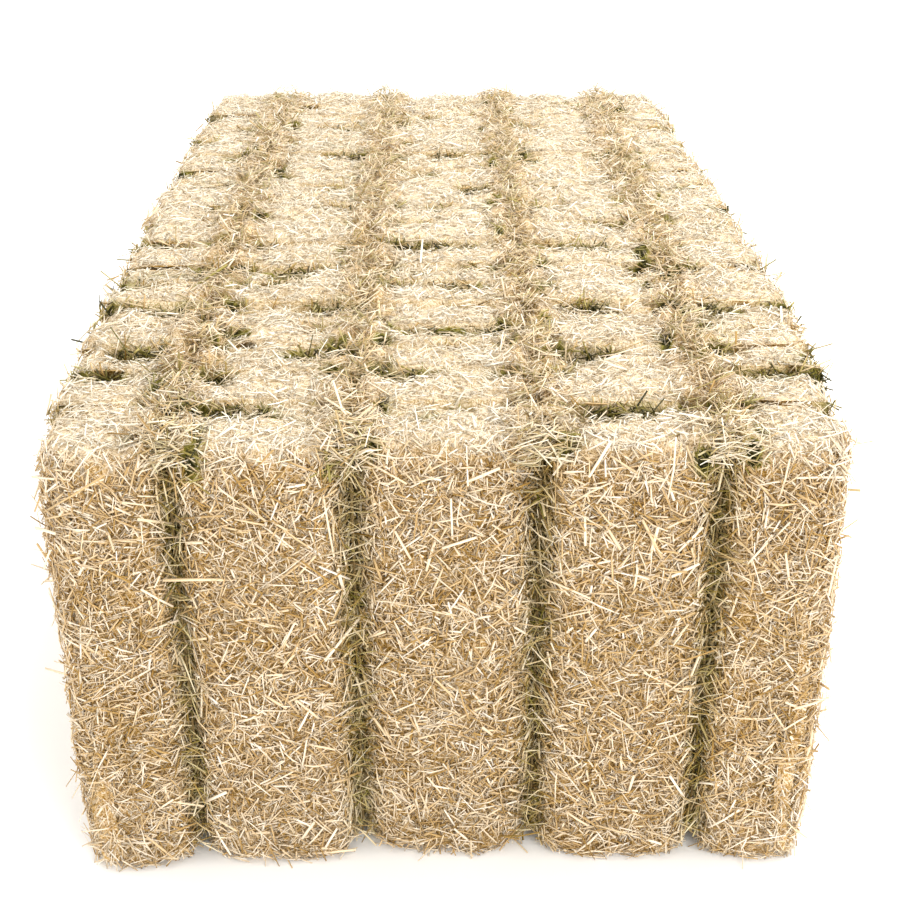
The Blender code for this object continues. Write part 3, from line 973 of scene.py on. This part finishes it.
def twine_path(name):
    """The middle line of a twine, a rectangle with rounded corners in the YZ plane, as
    points an even step apart, with the outward direction at each."""
    low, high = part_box(name)
    radius = (high.x - low.x) / 2
    low_y, high_y, low_z, high_z = low.y + radius, high.y - radius, low.z + radius, high.z - radius
    corners = (
        (high_y, high_z, TWINE_BEND_HIGH, 1, 1, 0.0), (low_y, high_z, TWINE_BEND_HIGH, -1, 1, 0.5),
        (low_y, low_z, TWINE_BEND_LOW, -1, -1, 1.0), (high_y, low_z, TWINE_BEND_LOW, 1, -1, 1.5),
    )
    bends = []
    for y, z, bend, side_y, side_z, start in corners:
        angle = np.pi * (start + np.linspace(0, 0.5, BEND_STEPS))
        bends.append(np.stack([
            y - side_y * bend + bend * np.cos(angle), z - side_z * bend + bend * np.sin(angle)], axis=1))
    loop = np.concatenate(bends + [bends[0][:1]])
    run = np.concatenate([[0], np.cumsum(np.linalg.norm(np.diff(loop, axis=0), axis=1))])
    turns = round(run[-1] / STRAND_TURN)
    steps = np.arange(turns * STRAND_STEPS) * run[-1] / (turns * STRAND_STEPS)
    yz = np.stack([np.interp(steps, run, loop[:, k]) for k in (0, 1)], axis=1)
    ahead = unit(np.roll(yz, -1, axis=0) - np.roll(yz, 1, axis=0))
    return yz, np.stack([ahead[:, 1], -ahead[:, 0]], axis=1), turns


def twine_piece(name, x, material):
    """A laid twine: three strands wound round the middle line, STRAND_RADIUS from it and
    one turn in STRAND_TURN, each with a ring of STRAND_SIDES corners at every step."""
    yz, outward, turns = twine_path(name)
    amount = len(yz)
    wind = 2 * np.pi * turns * np.arange(amount) / amount
    faces, rings = [], []
    corner = 2 * np.pi * np.arange(STRAND_SIDES) / STRAND_SIDES
    for strand in range(STRANDS):
        angle = (wind + 2 * np.pi * strand / STRANDS)[:, None]
        across = STRAND_RADIUS * (np.cos(angle) + np.cos(corner)[None])
        raised = STRAND_RADIUS * (np.sin(angle) + np.sin(corner)[None])
        middle = np.stack([np.full(amount, x), yz[:, 0], yz[:, 1]], axis=1)
        out = np.stack([np.zeros(amount), outward[:, 0], outward[:, 1]], axis=1)
        side = np.array([1.0, 0.0, 0.0])
        ring = middle[:, None] + across[..., None] * side + raised[..., None] * out[:, None]
        rings.append(ring.reshape(-1, 3))
        ring, place = np.meshgrid(np.arange(amount), np.arange(STRAND_SIDES), indexing="ij")
        ring, after = ring * STRAND_SIDES, (ring + 1) % amount * STRAND_SIDES
        beside = (place + 1) % STRAND_SIDES
        quads = np.stack([ring + place, after + place, after + beside, ring + beside], axis=-1)
        faces.append(quads.reshape(-1, 4) + strand * amount * STRAND_SIDES)
    mesh = bpy.data.meshes.new("strands_" + name[-1:])
    mesh.from_pydata(np.concatenate(rings), [], np.concatenate(faces))
    mesh.polygons.foreach_set("use_smooth", np.ones(len(mesh.polygons), bool))
    obj = finished(mesh.name, mesh, material)
    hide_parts(name)
    return obj


def node(tree, kind, **values):
    """A shader node. Names with a value set an input where there is one, or a setting."""
    made = tree.nodes.new(kind)
    for name, value in values.items():
        label = name.replace("_", " ").title()
        if label in made.inputs:
            made.inputs[label].default_value = value
        else:
            setattr(made, name, value)
    return made


def ramp(tree, stops):
    """A colour ramp from (place, colour) stops."""
    made = tree.nodes.new("ShaderNodeValToRGB")
    elements = made.color_ramp.elements
    while len(elements) < len(stops):
        elements.new(0.5)
    for element, (place, colour) in zip(elements, stops):
        element.position = place
        element.color = (*colour, 1.0)
    return made


def patchiness_group():
    """Slow changes of tone over the bale, from weather and from field to field."""
    group = bpy.data.node_groups.new("patchiness", "ShaderNodeTree")
    face = group.interface
    face.new_socket("Amount", in_out="INPUT", socket_type="NodeSocketFloat").default_value = 0.2
    face.new_socket("Tone", in_out="OUTPUT", socket_type="NodeSocketFloat")
    entry = group.nodes.new("NodeGroupInput")
    leave = group.nodes.new("NodeGroupOutput")
    place = group.nodes.new("ShaderNodeTexCoord")
    noise = node(group, "ShaderNodeTexNoise", scale=9.0, detail=3.0, roughness=0.55)
    centre = node(group, "ShaderNodeMath", operation="SUBTRACT")
    centre.inputs[1].default_value = 0.5
    times = node(group, "ShaderNodeMath", operation="MULTIPLY")
    group.links.new(place.outputs["Object"], noise.inputs["Vector"])
    group.links.new(noise.outputs["Fac"], centre.inputs[0])
    group.links.new(centre.outputs[0], times.inputs[0])
    group.links.new(entry.outputs["Amount"], times.inputs[1])
    group.links.new(times.outputs[0], leave.inputs["Tone"])
    return group


def straw_colour_group(patchiness):
    """Straw from brown through gold to cream by tone, paler where it is bleached, with painted shade:
    olive where a little shade is painted and a dark olive where most is."""
    group = bpy.data.node_groups.new("straw_colour", "ShaderNodeTree")
    face = group.interface
    face.new_socket("Tone", in_out="INPUT", socket_type="NodeSocketFloat")
    face.new_socket("PaintedShade", in_out="INPUT", socket_type="NodeSocketFloat")
    face.new_socket("Bleach", in_out="INPUT", socket_type="NodeSocketFloat")
    face.new_socket("Patches", in_out="INPUT", socket_type="NodeSocketFloat").default_value = 0.3
    face.new_socket("Colour", in_out="OUTPUT", socket_type="NodeSocketColor")
    entry = group.nodes.new("NodeGroupInput")
    leave = group.nodes.new("NodeGroupOutput")
    patches = group.nodes.new("ShaderNodeGroup")
    patches.node_tree = patchiness
    plus = node(group, "ShaderNodeMath", operation="ADD")
    dry = ramp(group, DRY_STRAW)
    pale = ramp(group, BLEACHED_STRAW)
    # The olive colour and its darkening are painted shade.
    sunk = ramp(group, PAINTED_SHADE_COLOURS)
    painted_share = ramp(group, PAINTED_SHADE_SHARE)
    shade = ramp(group, PAINTED_SHADE_DARKENING)
    shaded = node(group, "ShaderNodeMix", data_type="RGBA", blend_type="MULTIPLY")
    shaded.inputs["Factor"].default_value = 1.0
    bleached = node(group, "ShaderNodeMix", data_type="RGBA")
    mix = node(group, "ShaderNodeMix", data_type="RGBA")
    links = group.links
    links.new(entry.outputs["Patches"], patches.inputs["Amount"])
    links.new(entry.outputs["Tone"], plus.inputs[0])
    links.new(patches.outputs["Tone"], plus.inputs[1])
    links.new(plus.outputs[0], dry.inputs["Fac"])
    links.new(plus.outputs[0], sunk.inputs["Fac"])
    links.new(entry.outputs["PaintedShade"], painted_share.inputs["Fac"])
    links.new(painted_share.outputs["Color"], mix.inputs["Factor"])
    links.new(entry.outputs["Bleach"], bleached.inputs["Factor"])
    links.new(dry.outputs["Color"], bleached.inputs["A"])
    links.new(plus.outputs[0], pale.inputs["Fac"])
    links.new(pale.outputs["Color"], bleached.inputs["B"])
    links.new(bleached.outputs["Result"], mix.inputs["A"])
    links.new(entry.outputs["PaintedShade"], shade.inputs["Fac"])
    links.new(sunk.outputs["Color"], shaded.inputs["A"])
    links.new(shade.outputs["Color"], shaded.inputs["B"])
    links.new(shaded.outputs["Result"], mix.inputs["B"])
    links.new(mix.outputs["Result"], leave.inputs["Colour"])
    return group


def new_material(name, roughness, specular):
    """A material with its node tree and its Principled shader."""
    material = bpy.data.materials.new(name)
    material.use_nodes = True
    shader = material.node_tree.nodes["Principled BSDF"]
    shader.inputs["Roughness"].default_value = roughness
    shader.inputs["Specular IOR Level"].default_value = specular
    return material, material.node_tree, shader


def stalk_material(colours):
    """Stalks: a colour by their own tone, bleaching and painted shade, changed a little by fine ribs
    along them.
    """
    material, tree, shader = new_material("stalk", 0.5, 0.4)
    links = tree.links
    tone = node(tree, "ShaderNodeAttribute", attribute_name="tone")
    deep = node(tree, "ShaderNodeAttribute", attribute_name="deep")
    bleach = node(tree, "ShaderNodeAttribute", attribute_name="bleach")
    skin = node(tree, "ShaderNodeUVMap", uv_map="Skin")
    stretch = node(tree, "ShaderNodeMapping")
    stretch.inputs["Scale"].default_value = RIB_STRETCH
    shift = node(tree, "ShaderNodeCombineXYZ")
    spread = node(tree, "ShaderNodeMath", operation="MULTIPLY")
    spread.inputs[1].default_value = RIB_SHIFT
    ribs = node(tree, "ShaderNodeTexNoise", scale=1.0, detail=2.0)
    soft = node(tree, "ShaderNodeMapRange")
    soft.inputs["To Min"].default_value = -RIB_TONE
    soft.inputs["To Max"].default_value = RIB_TONE
    plus = node(tree, "ShaderNodeMath", operation="ADD")
    colour = tree.nodes.new("ShaderNodeGroup")
    colour.node_tree = colours
    bump = node(tree, "ShaderNodeBump", strength=0.35, distance=0.0005)
    links.new(tone.outputs["Fac"], spread.inputs[0])
    links.new(spread.outputs[0], shift.inputs["X"])
    links.new(spread.outputs[0], shift.inputs["Y"])
    links.new(skin.outputs["UV"], stretch.inputs["Vector"])
    links.new(shift.outputs["Vector"], stretch.inputs["Location"])
    links.new(stretch.outputs["Vector"], ribs.inputs["Vector"])
    links.new(ribs.outputs["Fac"], soft.inputs["Value"])
    links.new(tone.outputs["Fac"], plus.inputs[0])
    links.new(soft.outputs["Result"], plus.inputs[1])
    links.new(plus.outputs[0], colour.inputs["Tone"])
    links.new(deep.outputs["Fac"], colour.inputs["PaintedShade"])
    links.new(bleach.outputs["Fac"], colour.inputs["Bleach"])
    links.new(colour.outputs["Colour"], shader.inputs["Base Color"])
    links.new(ribs.outputs["Fac"], bump.inputs["Height"])
    links.new(bump.outputs["Normal"], shader.inputs["Normal"])
    return material


def bed_material(colours):
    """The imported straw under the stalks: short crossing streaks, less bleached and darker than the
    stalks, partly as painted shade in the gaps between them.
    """
    material, tree, shader = new_material("packed_straw", 0.8, 0.2)
    links = tree.links
    place = tree.nodes.new("ShaderNodeTexCoord")
    deep = node(tree, "ShaderNodeAttribute", attribute_name="deep")
    bleach = node(tree, "ShaderNodeAttribute", attribute_name="bleach")
    bend = node(tree, "ShaderNodeTexNoise", scale=38.0, detail=2.0)
    bent = node(tree, "ShaderNodeVectorMath", operation="MULTIPLY_ADD")
    bent.inputs[1].default_value = STREAK_BEND
    links.new(place.outputs["Object"], bend.inputs["Vector"])
    links.new(bend.outputs["Color"], bent.inputs[0])
    links.new(place.outputs["Object"], bent.inputs[2])
    layers = []
    for turn, scale in STREAK_LAYERS:
        lay = node(tree, "ShaderNodeMapping")
        lay.inputs["Rotation"].default_value = turn
        lay.inputs["Scale"].default_value = scale
        streak = node(tree, "ShaderNodeTexNoise", scale=1.0, detail=1.0)
        links.new(bent.outputs["Vector"], lay.inputs["Vector"])
        links.new(lay.outputs["Vector"], streak.inputs["Vector"])
        layers.append(streak)
    most = node(tree, "ShaderNodeMath", operation="MAXIMUM")
    more = node(tree, "ShaderNodeMath", operation="MAXIMUM")
    links.new(layers[0].outputs["Fac"], most.inputs[0])
    links.new(layers[1].outputs["Fac"], most.inputs[1])
    links.new(most.outputs[0], more.inputs[0])
    links.new(layers[2].outputs["Fac"], more.inputs[1])
    level = node(tree, "ShaderNodeMapRange")
    level.inputs["From Min"].default_value = STREAK_LOW
    level.inputs["From Max"].default_value = STREAK_HIGH
    level.inputs["To Max"].default_value = STREAK_TONE
    colour = tree.nodes.new("ShaderNodeGroup")
    colour.node_tree = colours
    bump = node(tree, "ShaderNodeBump", strength=0.8, distance=0.0015)
    links.new(more.outputs[0], level.inputs["Value"])
    links.new(level.outputs["Result"], colour.inputs["Tone"])
    links.new(deep.outputs["Fac"], colour.inputs["PaintedShade"])
    links.new(bleach.outputs["Fac"], colour.inputs["Bleach"])
    links.new(colour.outputs["Colour"], shader.inputs["Base Color"])
    links.new(more.outputs[0], bump.inputs["Height"])
    links.new(bump.outputs["Normal"], shader.inputs["Normal"])
    return material


def twine_material(patchiness):
    """Laid baler twine: fine brown and gold fibres that run along the strands."""
    material, tree, shader = new_material("laid_twine", 0.75, 0.25)
    links = tree.links
    place = tree.nodes.new("ShaderNodeTexCoord")
    lay_of = node(tree, "ShaderNodeMapping")
    lay_of.inputs["Scale"].default_value = TWINE_STRETCH
    fibres = node(tree, "ShaderNodeTexNoise", scale=1.0, detail=2.0)
    patches = tree.nodes.new("ShaderNodeGroup")
    patches.node_tree = patchiness
    plus = node(tree, "ShaderNodeMath", operation="ADD")
    colour = ramp(tree, TWINE_COLOURS)
    bump = node(tree, "ShaderNodeBump", strength=0.5, distance=0.0004)
    links.new(place.outputs["Object"], lay_of.inputs["Vector"])
    links.new(lay_of.outputs["Vector"], fibres.inputs["Vector"])
    links.new(fibres.outputs["Fac"], plus.inputs[0])
    links.new(patches.outputs["Tone"], plus.inputs[1])
    links.new(plus.outputs[0], colour.inputs["Fac"])
    links.new(colour.outputs["Color"], shader.inputs["Base Color"])
    links.new(fibres.outputs["Fac"], bump.inputs["Height"])
    links.new(bump.outputs["Normal"], shader.inputs["Normal"])
    return material


def floor_and_light():
    """A plain pale floor, an even sky and the soft lamps."""
    bpy.ops.mesh.primitive_plane_add(size=FLOOR_SIZE)
    floor = bpy.context.active_object
    floor.name = "floor"
    material, _, shader = new_material("floor", 0.9, 0.1)
    shader.inputs["Base Color"].default_value = FLOOR_COLOUR
    floor.data.materials.append(material)
    world = bpy.data.worlds.new("studio")
    world.use_nodes = True
    sky = world.node_tree.nodes["Background"]
    sky.inputs["Color"].default_value = SKY_COLOUR
    sky.inputs["Strength"].default_value = SKY_STRENGTH
    bpy.context.scene.world = world
    for name, place, size, power in LAMPS:
        lamp = bpy.data.lights.new(name, "AREA")
        lamp.shape = "DISK"
        lamp.size = size
        lamp.energy = power
        light = bpy.data.objects.new(name, lamp)
        light.location = place
        aim = Vector(LAMP_AIM) - Vector(place)
        light.rotation_euler = aim.to_track_quat("-Z", "Y").to_euler()
        bpy.context.scene.collection.objects.link(light)
    bpy.context.scene.view_settings.view_transform = "Standard"


def camera():
    """The camera, turned round the upright and then down."""
    data = bpy.data.cameras.new("camera")
    data.lens = LENS
    data.sensor_width = SENSOR
    data.clip_start = CLIP_START
    eye = bpy.data.objects.new("camera", data)
    turn = Matrix.Rotation(math.radians(CAMERA_TURN), 4, "Z")
    tilt = Matrix.Rotation(math.radians(90 - CAMERA_DOWN), 4, "X")
    eye.matrix_world = Matrix.Translation(CAMERA_PLACE) @ turn @ tilt
    bpy.context.scene.collection.objects.link(eye)
    bpy.context.scene.camera = eye


def main():
    """Sets the stage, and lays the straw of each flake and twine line."""
    camera()
    floor_and_light()
    patchiness = patchiness_group()
    colours = straw_colour_group(patchiness)
    stalk = stalk_material(colours)
    packed = bed_material(colours)
    cord = twine_material(patchiness)
    for index, name in enumerate(FLAKES):
        bed = Bed(name)
        bed.piece(packed)
        chance = np.random.default_rng(FLAKE_SEED + index)
        lay_chaff(bed, chance).piece("chaff_" + name[-2:], stalk)
        lay_stalks(bed, chance).piece("straw_" + name[-2:], stalk)
    for index, name in enumerate(TWINES):
        chance = np.random.default_rng(TWINE_SEED + index)
        lay_tufts(name, TWINE_X[index], chance).piece("tuft_" + name[-1:], stalk)
        twine_piece(name, TWINE_X[index], cord)


main()
